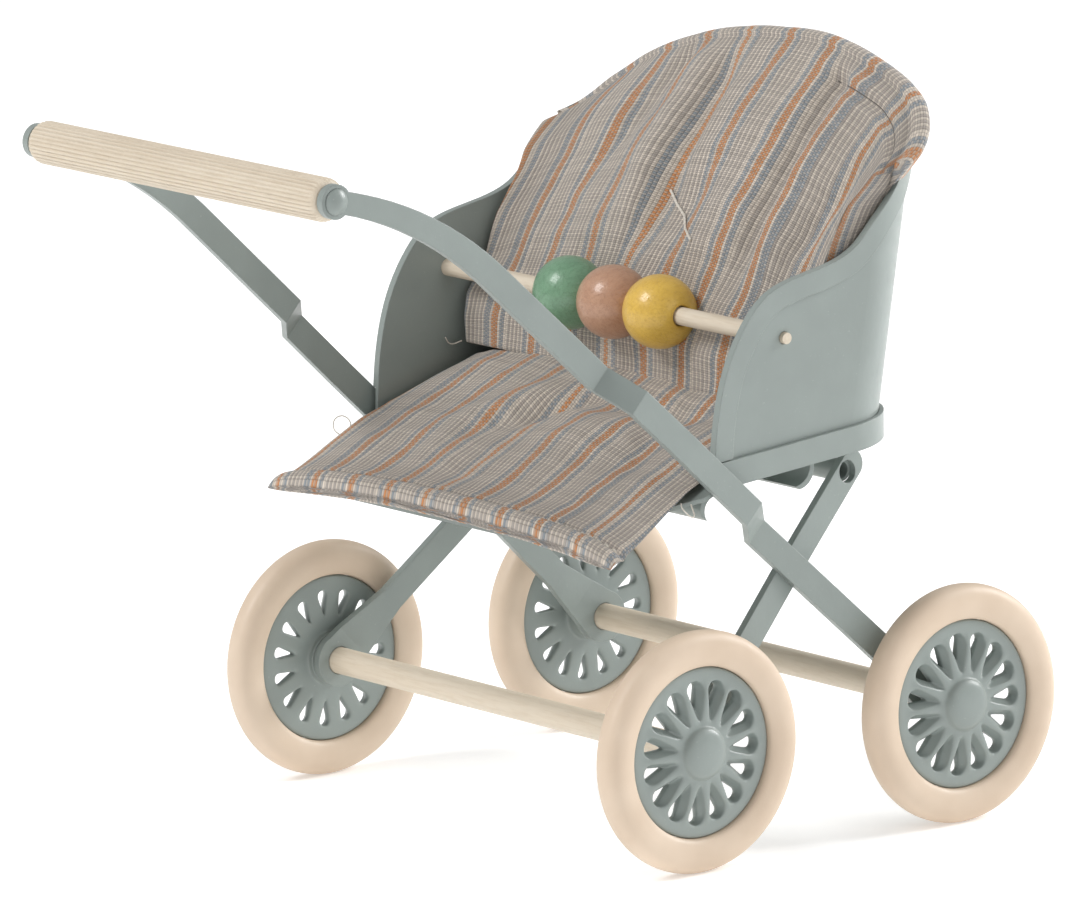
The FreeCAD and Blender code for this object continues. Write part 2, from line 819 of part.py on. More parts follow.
feature("seat_shell", shell_shape())
feature("seat_tray", tray_shape())
feature(
    "rear_rail",
    rail_shape(side_point(22.05, floor_z(22.05) - 0.4), side_point(19.65, 46.8), 1.0, 32.9),
)
feature(
    "front_rail",
    rail_shape(side_point(4.3, floor_z(4.3) - 0.8), side_point(2.4, 45.2), -1.3, 34.9),
)


# ---------------------------------------------------------------- bead bar and beads

bar = doc.addObject("Part::MultiFuse", "bead_bar")
bar.Shapes = [
    cylinder_along_x("bar_middle", "dims.bar_radius", "dims.bar_half", "dims.bar_y", "dims.bar_z"),
    cylinder_along_x("bar_tenons", "dims.tenon_radius", "dims.tenon_half", "dims.bar_y", "dims.bar_z"),
]
keep(bar, "bead_bar")


def make_bead(label, place):
    """A round wooden bead with flattened ends and a bore, at the place along the bar that a cell gives."""
    ball = doc.addObject("Part::Sphere", label + "_ball")
    bind(ball, Radius="dims.bead_radius")
    flats = cylinder_along_x(label + "_flats", "2 * dims.bead_radius", "dims.bead_half")
    common = doc.addObject("Part::Common", label + "_round")
    common.Base = ball
    common.Tool = flats
    bore = cylinder_along_x(label + "_bore", "dims.bar_radius + dims.running_gap", "dims.seat_half")
    bead = cut(label, common, bore)
    bind(
        bead,
        Placement_Base_x="dims." + place,
        Placement_Base_y="dims.bar_y",
        Placement_Base_z="dims.bar_z",
    )
    keep(bead, label)


for colour in ("green", "brown", "yellow"):
    make_bead("bead_" + colour, colour + "_x")


# ---------------------------------------------------------------- cushions


def cushion_body(profile, inset):
    """A cushion of the given side profile, kept clear of the shell and under its arched top."""
    half = dim("cushion_half")
    face = outline_face([side_point(y, z) for y, z in profile])
    face.translate(Vector(-half, 0, 0))
    block = face.extrude(Vector(2 * half, 0, 0))
    return block.common(seat_volume(dim("sheet") + inset)).common(under_arch(inset))


def floor_top(y):
    return floor_z(y) + dim("sheet") + dim("soft_gap")


SEAT_CUSHION = [
    (17.45, 57.0),
    (9.65, 54.6),
    (2.75, 51.2),
    (-4.45, 47.6),
    (-11.45, 43.2),
    (-13.25, 41.4),
    (-10.65, 42.3),
    (-4.85, 46.3),
    (-0.5, 48.8),
    (4.15, floor_top(4.15)),
    (17.45, floor_top(17.45)),
]
BACK_CUSHION = [
    (18.05, floor_top(18.05)),
    (32.45, floor_top(32.45)),
    (40.75, 98.6),
    (38.95, 98.6),
    (18.05, 58.4),
]
feature("seat_cushion", cushion_body(SEAT_CUSHION, dim("soft_gap")))
feature("back_cushion", cushion_body(BACK_CUSHION, dim("soft_gap")))


# ---------------------------------------------------------------- check and write

doc.recompute()
bad = [obj.Name for obj in doc.Objects if "Invalid" in obj.State or "Error" in obj.State]
if bad:
    raise RuntimeError(f"failed objects: {bad}")
for node in nodes:
    if node.Shape.isNull() or not node.Shape.isValid():
        raise RuntimeError(f"{node.Label} has no valid shape")

os.makedirs("parts", exist_ok=True)
for node in nodes:
    node.Shape.exportStep(f"parts/{node.Label}.step")
    print(f"{node.Label}: {len(node.Shape.Solids)} solid, {node.Shape.Volume:.1f} mm3")
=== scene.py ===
import json
import math

import bmesh
import bpy
from mathutils import Matrix, Vector, noise


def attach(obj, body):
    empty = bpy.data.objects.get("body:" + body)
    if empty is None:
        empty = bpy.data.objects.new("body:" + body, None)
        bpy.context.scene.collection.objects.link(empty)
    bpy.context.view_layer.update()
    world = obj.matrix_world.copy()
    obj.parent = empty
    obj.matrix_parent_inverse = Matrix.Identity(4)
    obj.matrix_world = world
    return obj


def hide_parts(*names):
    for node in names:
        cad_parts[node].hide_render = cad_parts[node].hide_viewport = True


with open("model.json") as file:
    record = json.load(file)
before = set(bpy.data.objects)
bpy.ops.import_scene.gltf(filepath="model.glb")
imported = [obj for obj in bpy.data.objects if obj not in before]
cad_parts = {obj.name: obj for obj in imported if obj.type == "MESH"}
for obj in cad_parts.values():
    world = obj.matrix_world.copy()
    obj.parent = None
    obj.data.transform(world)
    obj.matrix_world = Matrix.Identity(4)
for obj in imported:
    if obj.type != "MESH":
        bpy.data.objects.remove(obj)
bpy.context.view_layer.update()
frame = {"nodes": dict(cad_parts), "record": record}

MM = 0.001
NODES = frame["nodes"]


# ---------------------------------------------------------------- helpers for numbers


def smooth(low, high, value):
    """0 below low, 1 above high, and a smooth step between."""
    share = min(1.0, max(0.0, (value - low) / (high - low)))
    return share * share * (3 - 2 * share)


def mix(a, b, share):
    return a + (b - a) * share


def along(points, value):
    """The straight-line table of (value, result) read at value."""
    if value <= points[0][0]:
        return points[0][1]
    for (x0, y0), (x1, y1) in zip(points, points[1:]):
        if value <= x1:
            return mix(y0, y1, (value - x0) / (x1 - x0))
    return points[-1][1]


def bell(distance, width):
    return math.exp(-((distance / width) ** 2))


def ripple(x, y, z, scale):
    """Even, seeded noise, about -1 to 1."""
    return noise.noise(Vector((x, y, z)) * scale + Vector((7.3, 2.1, 5.7)))


# ---------------------------------------------------------------- helpers for meshes


def new_piece(name, mesh, body, material, replaced=(), levels=0):
    """Links a mesh in millimetres as a piece that rides on a body."""
    mesh.transform(Matrix.Scale(MM, 4))
    piece = bpy.data.objects.new(name, mesh)
    bpy.context.scene.collection.objects.link(piece)
    mesh.materials.append(material)
    for polygon in mesh.polygons:
        polygon.use_smooth = True
    if levels:
        surface = piece.modifiers.new("surface", "SUBSURF")
        surface.levels = levels
        surface.render_levels = levels
    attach(piece, body)
    if replaced:
        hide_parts(*replaced)
    return piece


def rings_mesh(name, rings, cloth=None, caps=True):
    """A tube of closed rings of points; cloth gives each point its place on the flat fabric."""
    mesh = bpy.data.meshes.new(name)
    count = len(rings[0])
    points = [point for ring in rings for point in ring]
    faces = []
    for i in range(len(rings) - 1):
        for j in range(count):
            k = (j + 1) % count
            faces.append((i * count + j, i * count + k, (i + 1) * count + k, (i + 1) * count + j))
    if caps:
        faces.append(tuple(reversed(range(count))))
        faces.append(tuple(range((len(rings) - 1) * count, len(rings) * count)))
    mesh.from_pydata(points, [], faces)
    if cloth:
        layer = mesh.attributes.new("cloth", "FLOAT_VECTOR", "POINT")
        flat = [value for ring in cloth for place in ring for value in (place[0], place[1], 0.0)]
        layer.data.foreach_set("vector", flat)
    outward(mesh)
    return mesh


def outward(mesh):
    """Cuts large end faces into triangles, and turns every face outward."""
    shape = bmesh.new()
    shape.from_mesh(mesh)
    ends = [face for face in shape.faces if len(face.verts) > 4]
    bmesh.ops.triangulate(shape, faces=ends, ngon_method="EAR_CLIP")
    bmesh.ops.recalc_face_normals(shape, faces=shape.faces)
    shape.to_mesh(mesh)
    shape.free()


def lathe_mesh(name, profile, place, steps=96):
    """A closed profile of (axial, radius) turned about the X direction; place maps to millimetres."""
    rings = []
    for i in range(steps):
        turn = 2 * math.pi * i / steps
        rings.append([place(w, r * math.cos(turn), r * math.sin(turn)) for w, r in profile])
    rings.append(rings[0])
    mesh = rings_mesh(name, rings, caps=False)
    weld(mesh)
    return mesh


def weld(mesh, reach=1e-4):
    """Joins points that meet, and turns every face outward."""
    shape = bmesh.new()
    shape.from_mesh(mesh)
    bmesh.ops.remove_doubles(shape, verts=shape.verts, dist=reach)
    bmesh.ops.recalc_face_normals(shape, faces=shape.faces)
    shape.to_mesh(mesh)
    shape.free()


# ---------------------------------------------------------------- materials


class Nodes:
    """A material's node tree, with short calls for the nodes used here."""

    def __init__(self, name):
        self.material = bpy.data.materials.new(name)
        self.material.use_nodes = True
        self.tree = self.material.node_tree
        self.shader = self.tree.nodes["Principled BSDF"]

    def add(self, kind, **settings):
        node = self.tree.nodes.new(kind)
        for key, value in settings.items():
            setattr(node, key, value)
        return node

    def link(self, source, target):
        self.tree.links.new(source, target)

    def feed(self, target, value):
        """Connects a socket, or sets a plain value."""
        if isinstance(value, bpy.types.NodeSocket):
            self.link(value, target)
        else:
            target.default_value = value

    def place(self, stretch=(1, 1, 1)):
        """Object coordinates in millimetres, stretched."""
        coordinates = self.add("ShaderNodeTexCoord")
        mapping = self.add("ShaderNodeMapping")
        mapping.inputs["Scale"].default_value = [1000 * s for s in stretch]
        self.link(coordinates.outputs["Object"], mapping.inputs["Vector"])
        return mapping.outputs["Vector"]

    def noise(self, vector, scale, detail=2.0, rough=0.5):
        texture = self.add("ShaderNodeTexNoise")
        self.link(vector, texture.inputs["Vector"])
        texture.inputs["Scale"].default_value = scale
        texture.inputs["Detail"].default_value = detail
        texture.inputs["Roughness"].default_value = rough
        return texture.outputs["Fac"]

    def math(self, operation, a, b=0.0, c=0.0):
        node = self.add("ShaderNodeMath", operation=operation)
        self.feed(node.inputs[0], a)
        self.feed(node.inputs[1], b)
        self.feed(node.inputs[2], c)
        return node.outputs[0]

    def spread(self, value, low, high, to_low=0.0, to_high=1.0):
        node = self.add("ShaderNodeMapRange", interpolation_type="SMOOTHSTEP")
        self.feed(node.inputs["Value"], value)
        node.inputs["From Min"].default_value = low
        node.inputs["From Max"].default_value = high
        node.inputs["To Min"].default_value = to_low
        node.inputs["To Max"].default_value = to_high
        return node.outputs["Result"]

    def blend(self, share, a, b, how="MIX"):
        node = self.add("ShaderNodeMix", data_type="RGBA", blend_type=how)
        self.feed(node.inputs["Factor"], share)
        colours = [socket for socket in node.inputs if socket.type == "RGBA"]
        self.feed(colours[0], a)
        self.feed(colours[1], b)
        return next(socket for socket in node.outputs if socket.type == "RGBA")

    def bump(self, height, distance, strength=1.0, normal=None):
        node = self.add("ShaderNodeBump")
        node.inputs["Distance"].default_value = distance
        node.inputs["Strength"].default_value = strength
        self.link(height, node.inputs["Height"])
        if normal:
            self.link(normal, node.inputs["Normal"])
        return node.outputs["Normal"]

    def soft_edges(self, radius):
        node = self.add("ShaderNodeBevel", samples=3)
        node.inputs["Radius"].default_value = radius
        return node.outputs["Normal"]

    def finish(self, colour, roughness, normal=None, coat=0.0, sheen=0.0):
        self.feed(self.shader.inputs["Base Color"], colour)
        self.feed(self.shader.inputs["Roughness"], roughness)
        self.shader.inputs["Coat Weight"].default_value = coat
        self.shader.inputs["Coat Roughness"].default_value = 0.15
        self.shader.inputs["Sheen Weight"].default_value = sheen
        if normal:
            self.link(normal, self.shader.inputs["Normal"])
        return self.material


def rgb(red, green, blue):
    return (red, green, blue, 1.0)


def painted_metal(name, colour, edge):
    """Satin enamel: a faint orange peel, cloudy colour, and edges lightened as a painted highlight."""
    m = Nodes(name)
    place = m.place()
    cloud = m.spread(m.noise(place, 0.12, 3.0), 0.3, 0.7)
    speck = m.spread(m.noise(place, 2.6, 2.0), 0.68, 0.78)
    rounded = m.soft_edges(0.00022)
    facing = m.add("ShaderNodeNewGeometry").outputs["Normal"]
    product = m.add("ShaderNodeVectorMath", operation="DOT_PRODUCT")
    m.link(rounded, product.inputs[0])
    m.link(facing, product.inputs[1])
    # Colour lightened towards the edge colour along the rounded edges: a painted edge highlight.
    edge_highlight = m.spread(product.outputs["Value"], 0.99, 0.86)
    darker = rgb(*[c * 0.93 for c in colour[:3]])
    base = m.blend(cloud, colour, darker)
    base = m.blend(m.math("MULTIPLY", speck, 0.25), base, edge)
    base = m.blend(m.math("MULTIPLY", edge_highlight, 0.45), base, edge)
    peel = m.noise(place, 1.1, 2.0)
    normal = m.bump(peel, 0.00003, 0.6, rounded)
    roughness = m.spread(m.noise(place, 0.5, 3.0), 0.2, 0.8, 0.34, 0.46)
    return m.finish(base, roughness, normal, coat=0.12)


def turned_wood(name, colour, grain, gloss, coat, stretch=(0.08, 1.0, 1.0), depth=0.00006):
    """Wood with its grain along X, bare or under a thin coloured lacquer."""
    m = Nodes(name)
    place = m.place(stretch)
    fibre = m.noise(place, 2.4, 4.0, 0.65)
    rings = m.noise(place, 0.55, 2.0)
    streak = m.spread(fibre, 0.42, 0.68)
    base = m.blend(m.math("MULTIPLY", streak, 0.55), colour, grain)
    base = m.blend(m.spread(rings, 0.35, 0.7, 0.0, 0.35), base, grain)
    pores = m.spread(m.noise(place, 5.0, 3.0, 0.6), 0.55, 0.72)
    height = m.math("SUBTRACT", fibre, m.math("MULTIPLY", pores, 0.6))
    normal = m.bump(height, depth, 0.8)
    return m.finish(base, gloss, normal, coat=coat)


def moulded_tyre(name):
    """Cream moulded plastic, matt, with cloudy tone and a few scuffs."""
    m = Nodes(name)
    place = m.place()
    cloud = m.spread(m.noise(place, 0.09, 3.0), 0.3, 0.7)
    base = m.blend(cloud, rgb(0.72, 0.585, 0.455), rgb(0.65, 0.515, 0.39))
    scuff = m.spread(m.noise(place, 0.9, 5.0, 0.7), 0.66, 0.8)
    base = m.blend(m.math("MULTIPLY", scuff, 0.35), base, rgb(0.52, 0.40, 0.29))
    normal = m.bump(m.noise(place, 3.0, 3.0), 0.00002, 0.6)
    roughness = m.spread(m.noise(place, 0.6, 3.0), 0.2, 0.8, 0.44, 0.56)
    return m.finish(base, roughness, normal)


def steel_wire(name):
    """Drawn steel, for the rod inside the grip."""
    m = Nodes(name)
    scratch = m.noise(m.place((0.05, 1, 1)), 3.0, 3.0)
    m.shader.inputs["Metallic"].default_value = 1.0
    return m.finish(rgb(0.55, 0.55, 0.54), m.spread(scratch, 0.2, 0.8, 0.25, 0.4))


THREAD = 0.41
PICK = 0.31
REPEAT = 7.9


def striped_cloth(name):
    """A coarse plain weave, drawn thread by thread in the material; the warp's colour makes the stripes."""
    m = Nodes(name)
    flat = m.add("ShaderNodeAttribute", attribute_name="cloth").outputs["Vector"]
    wander = m.noise(flat, 0.35, 2.0)
    split = m.add("ShaderNodeSeparateXYZ")
    m.link(flat, split.inputs[0])
    u = m.math("ADD", split.outputs[0], m.math("MULTIPLY", m.math("SUBTRACT", wander, 0.5), 0.12))
    v = m.math("ADD", split.outputs[1], m.math("MULTIPLY", m.math("SUBTRACT", wander, 0.5), 0.12))
    warp = m.math("DIVIDE", u, THREAD)
    weft = m.math("DIVIDE", v, PICK)
    warp_index = m.math("FLOOR", warp)
    weft_index = m.math("FLOOR", weft)
    parity = m.math("PINGPONG", m.math("ADD", warp_index, weft_index), 1.0)

    def thread_profile(value):
        return m.math("ABSOLUTE", m.math("SINE", m.math("MULTIPLY", value, math.pi)))

    warp_round = thread_profile(warp)
    weft_round = thread_profile(weft)
    warp_arch = m.math("MULTIPLY", m.math("POWER", warp_round, 0.6), m.math("POWER", weft_round, 0.5))
    weft_arch = m.math("MULTIPLY", m.math("POWER", weft_round, 0.6), m.math("POWER", warp_round, 0.5))
    over = m.spread(m.math("SUBTRACT", warp_arch, weft_arch), -0.25, 0.25)
    on_top = m.math("GREATER_THAN", parity, 0.5)
    height = m.add("ShaderNodeMix", data_type="FLOAT")
    m.link(on_top, height.inputs["Factor"])
    floats = [socket for socket in height.inputs if socket.type == "VALUE" and socket.name in "AB"]
    m.link(weft_arch, floats[0])
    m.link(warp_arch, floats[1])
    height = height.outputs[0]

    def per_thread(index, seed):
        shade = m.add("ShaderNodeTexWhiteNoise", noise_dimensions="1D")
        m.link(m.math("ADD", index, seed), shade.inputs["W"])
        return shade.outputs["Value"]

    across = m.math("PINGPONG", m.math("MULTIPLY", m.math("ADD", warp_index, 0.5), THREAD), REPEAT / 2)
    orange = m.math("LESS_THAN", across, 0.55)
    blue = m.math("MULTIPLY", m.math("GREATER_THAN", across, 1.10), m.math("LESS_THAN", across, 1.95))
    every_other = m.math("GREATER_THAN", m.math("PINGPONG", warp_index, 1.0), 0.5)
    fine = m.math("MULTIPLY", m.math("GREATER_THAN", across, 2.2), every_other)
    cream = rgb(0.66, 0.585, 0.50)
    warp_colour = m.blend(fine, cream, rgb(0.37, 0.33, 0.295))
    warp_colour = m.blend(blue, warp_colour, rgb(0.26, 0.29, 0.315))
    warp_colour = m.blend(orange, warp_colour, rgb(0.56, 0.235, 0.085))
    weft_colour = m.blend(m.math("MULTIPLY", orange, 0.62), rgb(0.55, 0.485, 0.42), rgb(0.50, 0.25, 0.115))
    weft_colour = m.blend(m.math("MULTIPLY", fine, 0.8), weft_colour, rgb(0.385, 0.34, 0.30))
    weft_colour = m.blend(m.math("MULTIPLY", blue, 0.55), weft_colour, rgb(0.27, 0.29, 0.31))
    base = m.blend(on_top, weft_colour, warp_colour)
    warp_shade = m.math("MULTIPLY", per_thread(warp_index, 3.0), 0.16)
    weft_shade = m.math("MULTIPLY", per_thread(weft_index, 50.0), 0.16)
    shade = m.math("ADD", warp_shade, weft_shade)
    shade = m.math("ADD", shade, 0.80)
    # Colour darkened in the low gaps between threads and slightly lifted on their crowns: painted shade and
    # painted highlight of the weave.
    shade = m.math("MULTIPLY", shade, m.spread(height, 0.0, 0.72, 0.56, 1.05))
    tone = m.add("ShaderNodeCombineColor")
    for socket in tone.inputs[:3]:
        m.link(shade, socket)
    base = m.blend(1.0, base, tone.outputs["Color"], "MULTIPLY")
    fuzz = m.noise(flat, 5.0, 3.0, 0.7)
    relief = m.math("ADD", m.math("MULTIPLY", height, 1.0), m.math("MULTIPLY", fuzz, 0.35))
    normal = m.bump(relief, 0.00012, 0.9)
    return m.finish(base, 0.92, normal, sheen=0.25)


# The second colour is the lighter one, used for the specks and for the painted edge highlight.
PAINT = painted_metal("sage_enamel", rgb(0.275, 0.315, 0.298), rgb(0.44, 0.48, 0.46))
TYRE = moulded_tyre("cream_tyre")
PALE = turned_wood("pale_wood", rgb(0.70, 0.615, 0.495), rgb(0.61, 0.51, 0.385), 0.55, 0.05)
LACQUER = {"gloss": 0.36, "coat": 0.5, "stretch": (1, 0.35, 1), "depth": 0.00009}
GREEN = turned_wood("green_wood", rgb(0.175, 0.335, 0.205), rgb(0.11, 0.235, 0.135), **LACQUER)
BROWN = turned_wood("brown_wood", rgb(0.50, 0.285, 0.18), rgb(0.39, 0.20, 0.12), **LACQUER)
YELLOW = turned_wood("yellow_wood", rgb(0.74, 0.475, 0.075), rgb(0.60, 0.355, 0.045), **LACQUER)
CLOTH = striped_cloth("striped_cloth")
STEEL = steel_wire("steel_wire")

BY_SLOT = {
    "painted_frame": PAINT,
    "tyre": TYRE,
    "pale_wood": PALE,
    "green_wood": GREEN,
    "brown_wood": BROWN,
    "yellow_wood": YELLOW,
    "striped_cloth": CLOTH,
    "steel": STEEL,
}
for part in frame["record"]["subparts"]:
    slots = NODES[part["node"]].data.materials
    slots.clear()
    slots.append(BY_SLOT[part["material_slot"]])


# ---------------------------------------------------------------- wheels

TRACK = 39.3
AXLE_Z = 16.0
FRONT_Y = 41.6
REAR_Y = -3.0
SECTORS = 15
RIM_R = 9.8
HUB_R = 3.6


def teardrop(centre, radius, tip, tip_half):
    """Half of a petal's outline, from its round outer end to its inner point, which is 2 * tip_half wide."""
    points = []
    for i in range(6):
        turn = math.radians(20 * i)
        points.append((centre + radius * math.cos(turn), radius * math.sin(turn)))
    start = points[-1]
    for i in range(1, 7):
        points.append((mix(start[0], tip + 1.75 * tip_half, i / 6), mix(start[1], tip_half, i / 6)))
    return points + [(tip + 0.5 * tip_half, 0.55 * tip_half), (tip, 0.0)]


def sector_edge():
    """Half of a sector's border, from the middle of its outer arc to the middle of its inner arc."""
    half = math.pi / SECTORS
    points = [(RIM_R * math.cos(half * i / 3), RIM_R * math.sin(half * i / 3)) for i in range(4)]
    for i in range(1, 9):
        radius = mix(RIM_R, HUB_R, i / 8)
        points.append((radius * math.cos(half), radius * math.sin(half)))
    return points + [(HUB_R * math.cos(half * 0.5), HUB_R * math.sin(half * 0.5)), (HUB_R, 0.0)]


def all_round(half):
    return half + [(a, -b) for a, b in reversed(half[1:-1])]


def ridge_height(radius):
    """Outer face of the ridges: flush with the rim, crowned, and rising to the hub."""
    inward = (RIM_R - radius) / (RIM_R - HUB_R)
    return 0.9 + 0.55 * inward**1.6 + 0.30 * math.sin(math.pi * inward)


def disc_mesh(name, side, axle_y, boss):
    """A cast disc with scooped petal openings, a domed cap outside and a boss inside."""

    def place(w, a, b):
        return (side * (TRACK + w), axle_y + a, AXLE_Z + b)

    def between(inner_edge, outer_edge, share, drop, outer):
        pairs = zip(inner_edge, outer_edge)
        return [(mix(h[0], e[0], share), mix(h[1], e[1], share), drop, outer) for h, e in pairs]

    hole = all_round(teardrop(8.6, 0.74, 6.0, 0.18))
    scoop = all_round(teardrop(8.25, 1.36, 4.3, 0.46))
    border = all_round(sector_edge())
    count = len(hole)
    ridge = [(1.0, 0.0), (0.5, -0.02), (0.12, -0.10), (0.0, -0.26)]
    bowl = [(0.72, -0.62), (0.38, -0.92), (0.1, -1.12), (0.0, -1.3)]
    points = []
    faces = []
    for sector in range(SECTORS):
        turn = 2 * math.pi * sector / SECTORS
        cosine, sine = math.cos(turn), math.sin(turn)
        first = len(points)
        rows = []
        for share, drop in ridge:
            rows.append(between(scoop, border, share, drop, True))
        for share, drop in bowl:
            rows.append(between(hole, scoop, share, drop, True))
        rows.append([(h[0], h[1], 0.25, False) for h in hole])
        for share, drop in ((0.08, 0.06), (0.35, 0.0), (1.0, 0.0)):
            rows.append(between(hole, border, share, drop, False))
        for row in rows:
            for a, b, drop, outer in row:
                radius = math.hypot(a, b)
                w = ridge_height(min(radius, RIM_R)) + drop if outer else -0.9 + drop
                points.append(place(w, a * cosine - b * sine, a * sine + b * cosine))
        for i in range(len(rows) - 1):
            for j in range(count):
                k = (j + 1) % count
                base = first + i * count
                faces.append((base + j, base + k, base + count + k, base + count + j))
    steps = SECTORS * 6
    half = math.pi / SECTORS

    def band(profile, angles):
        start = len(points)
        number = len(angles)
        for w, radius in profile:
            points.extend(place(w, radius * math.cos(t), radius * math.sin(t)) for t in angles)
        for i in range(len(profile) - 1):
            for j in range(number):
                k = (j + 1) % number
                base = start + i * number
                faces.append((base + j, base + k, base + number + k, base + number + j))

    rim_angles = [2 * math.pi * i / steps for i in range(steps)]
    hub_angles = [half * 0.5 * i for i in range(SECTORS * 4)]
    rim = [(0.9, RIM_R), (0.9, 10.1), (0.88, 10.9), (0.78, 11.18), (0.55, 11.3), (-0.6, 11.3)]
    rim += [(-0.82, 11.18), (-0.9, 10.9), (-0.9, RIM_R)]
    band(rim, rim_angles)
    top = ridge_height(HUB_R)
    cap = [(top, HUB_R), (top + 0.18, 3.5), (top + 0.62, 3.25), (top + 0.92, 2.75), (top + 1.1, 1.95)]
    band(cap + [(top + 1.2, 0.95), (top + 1.22, 0.0)], hub_angles)
    inner = [(-0.9, HUB_R), (-1.1, HUB_R), (0.3 - boss, HUB_R)]
    inner += [(-boss, 3.65), (-boss, 2.2), (0.15 - boss, 1.95)]
    band(inner + [(0.5, 1.95), (0.5, 0.0)], hub_angles)
    mesh = bpy.data.meshes.new(name)
    mesh.from_pydata(points, [], faces)
    weld(mesh, 0.004)
    return mesh


def tyre_profile():
    """Half-moon section of the tyre: round tread, full sides, and a lip against the disc."""
    points = []
    for i in range(19):
        turn = math.radians(-106 + 212 * i / 18)
        bulge = math.copysign(abs(math.sin(turn)) ** 0.82, math.sin(turn))
        reach = math.copysign(abs(math.cos(turn)) ** 0.86, math.cos(turn))
        points.append((2.02 * bulge, 13.75 + 2.25 * reach))
    lip = [(1.72, 12.0), (1.45, 11.55), (1.15, 11.34)]
    base = [(0.4, 11.32), (-0.4, 11.32)]
    return points + lip + base + [(-w, r) for w, r in reversed(lip)]


for end, axle_y, boss in (("front", FRONT_Y, 3.29), ("rear", REAR_Y, 1.92)):
    for name, side in (("right", 1), ("left", -1)):
        body = end + "_wheelset"
        label = f"{end}_{name}"
        disc = disc_mesh("disc_" + label, side, axle_y, boss)
        new_piece("disc_" + label, disc, body, PAINT, ["wheel_" + label], 1)
        tyre = lathe_mesh(
            "rubber_" + label,
            tyre_profile(),
            lambda w, a, b: (side * TRACK + w, axle_y + a, AXLE_Z + b),
        )
        new_piece("rubber_" + label, tyre, body, TYRE, ["tyre_" + label], 1)


# ---------------------------------------------------------------- grip

GRIP_Y = -54.7
GRIP_Z = 93.2
GRIP_R = 2.85
GRIP_HALF = 30.6
GRIP_ROUND = 1.3
FLUTES = 30
FLUTE_DEPTH = 0.24


def grip_profile():
    """A round bar with eased ends, and a bore for its rod."""
    points = []
    for i in range(7):
        turn = math.radians(15 * i)
        along_bar = GRIP_ROUND * (1 - math.cos(turn)) - GRIP_HALF
        points.append((along_bar, GRIP_R - GRIP_ROUND * (1 - math.sin(turn))))
    straight = GRIP_HALF - GRIP_ROUND - 0.5
    middle = [(mix(-straight, straight, i / 12), GRIP_R) for i in range(13)]
    points += middle + [(-w, r) for w, r in reversed(points)]
    return points + [(GRIP_HALF, 0.9), (GRIP_HALF - 0.4, 0.8), (0.4 - GRIP_HALF, 0.8), (-GRIP_HALF, 0.9)]


def fluted(w, a, b):
    """The grip's surface, with narrow rounded flutes along it that fade at its ends."""
    radius = math.hypot(a, b)
    turn = math.atan2(b, a)
    fade = smooth(0.1, 1.2, GRIP_HALF - abs(w)) if radius > 2.0 else 0.0
    cut = FLUTE_DEPTH * fade * (1 - abs(math.sin(turn * FLUTES / 2)) ** 0.7)
    scale = 1 - cut / radius
    return (w, GRIP_Y + a * scale, GRIP_Z + b * scale)


handle = lathe_mesh("fluted_grip", grip_profile(), fluted, FLUTES * 8)
new_piece("fluted_grip", handle, "grip", PALE, ["grip"], 0)


# ---------------------------------------------------------------- beads

BAR_Y = 15.4
BAR_Z = 67.6


def bead_profile():
    """A ball with small flats, and a bore with rounded mouths."""
    radius = 4.97
    mouth = 1.36
    half = 4.62
    points = []
    reach = math.asin(half / radius)
    for i in range(21):
        turn = mix(-reach, reach, i / 20)
        points.append((radius * math.sin(turn), radius * math.cos(turn)))
    end = [(half + 0.02, 1.62), (half - 0.1, mouth), (half - 0.5, 1.28)]
    return points + end + [(-w, r) for w, r in reversed(end)]


for colour, material, bead_x in (("green", GREEN, -8.9), ("brown", BROWN, 0.35), ("yellow", YELLOW, 10.0)):
    ball = lathe_mesh("ball_" + colour, bead_profile(), lambda w, a, b: (bead_x + w, BAR_Y + a, BAR_Z + b))
    new_piece("ball_" + colour, ball, "bead_" + colour, material, ["bead_" + colour], 1)


# ---------------------------------------------------------------- the shell's surfaces, for the cloth

BACK_Y = 36.6
FOOT_Z = 55.48
LEAN = 0.169
CORNER_X = 25.8
CORNER_R = 9.7
ARCH_R = 53.0
ARCH_Z = 46.8


def back_y(x, z, inset=0.0):
    """The shell's back at (x, z), moved inward by inset, round corners included."""
    radius = CORNER_R - inset
    side = min(max(abs(x) - CORNER_X, 0.0), radius * 0.995)
    return BACK_Y + LEAN * (z - FOOT_Z) - inset - (radius - math.sqrt(radius * radius - side * side))


def back_normal(x):
    """Which way the shell's back faces at x."""
    side = min(max(abs(x) - CORNER_X, 0.0) / CORNER_R, 0.97)
    return Vector((math.copysign(side, x), math.sqrt(1 - side * side), 0.0))


# ---------------------------------------------------------------- back cushion

SPAN = math.asin(35.1 / ARCH_R)
SIDE_LINE = [(16.7, 57.2), (16.8, 61.1), (17.6, 64.4), (21.4, 69.1), (23.6, 75.3)]
SIDE_LINE += [(25.4, 79.0), (28.8, 84.0), (33.0, 87.8), (37.0, 88.8)]
MIDDLE_LINE = [(16.6, 57.2), (17.6, 62.5), (20.6, 68.5), (25.4, 77.0)]
MIDDLE_LINE += [(31.2, 86.0), (37.6, 94.5), (43.2, 100.6)]
PUFF = [(-35, 0.9), (-31, 1.0), (-26, 1.1), (-16, 0.7), (-6, 0.8), (2, 1.3)]
PUFF += [(10, 2.5), (20, 3.6), (25, 4.3), (29, 4.5), (32, 4.0), (35, 3.0)]
FACE_ROWS = 64
LEFT_TUCK = 1.5
SEAM_INSET = 0.915


def lengths(line):
    """The share of a line's length reached at each of its points."""
    sums = [0.0]
    for (a, b), (c, d) in zip(line, line[1:]):
        sums.append(sums[-1] + math.hypot(c - a, d - b))
    return [value / sums[-1] for value in sums]


def off_chord(line, share):
    """How far a line of (y, z) leaves the straight line between its ends."""
    places = lengths(line)
    y = along(list(zip(places, [point[0] for point in line])), share)
    z = along(list(zip(places, [point[1] for point in line])), share)
    return y - mix(line[0][0], line[-1][0], share), z - mix(line[0][1], line[-1][1], share)


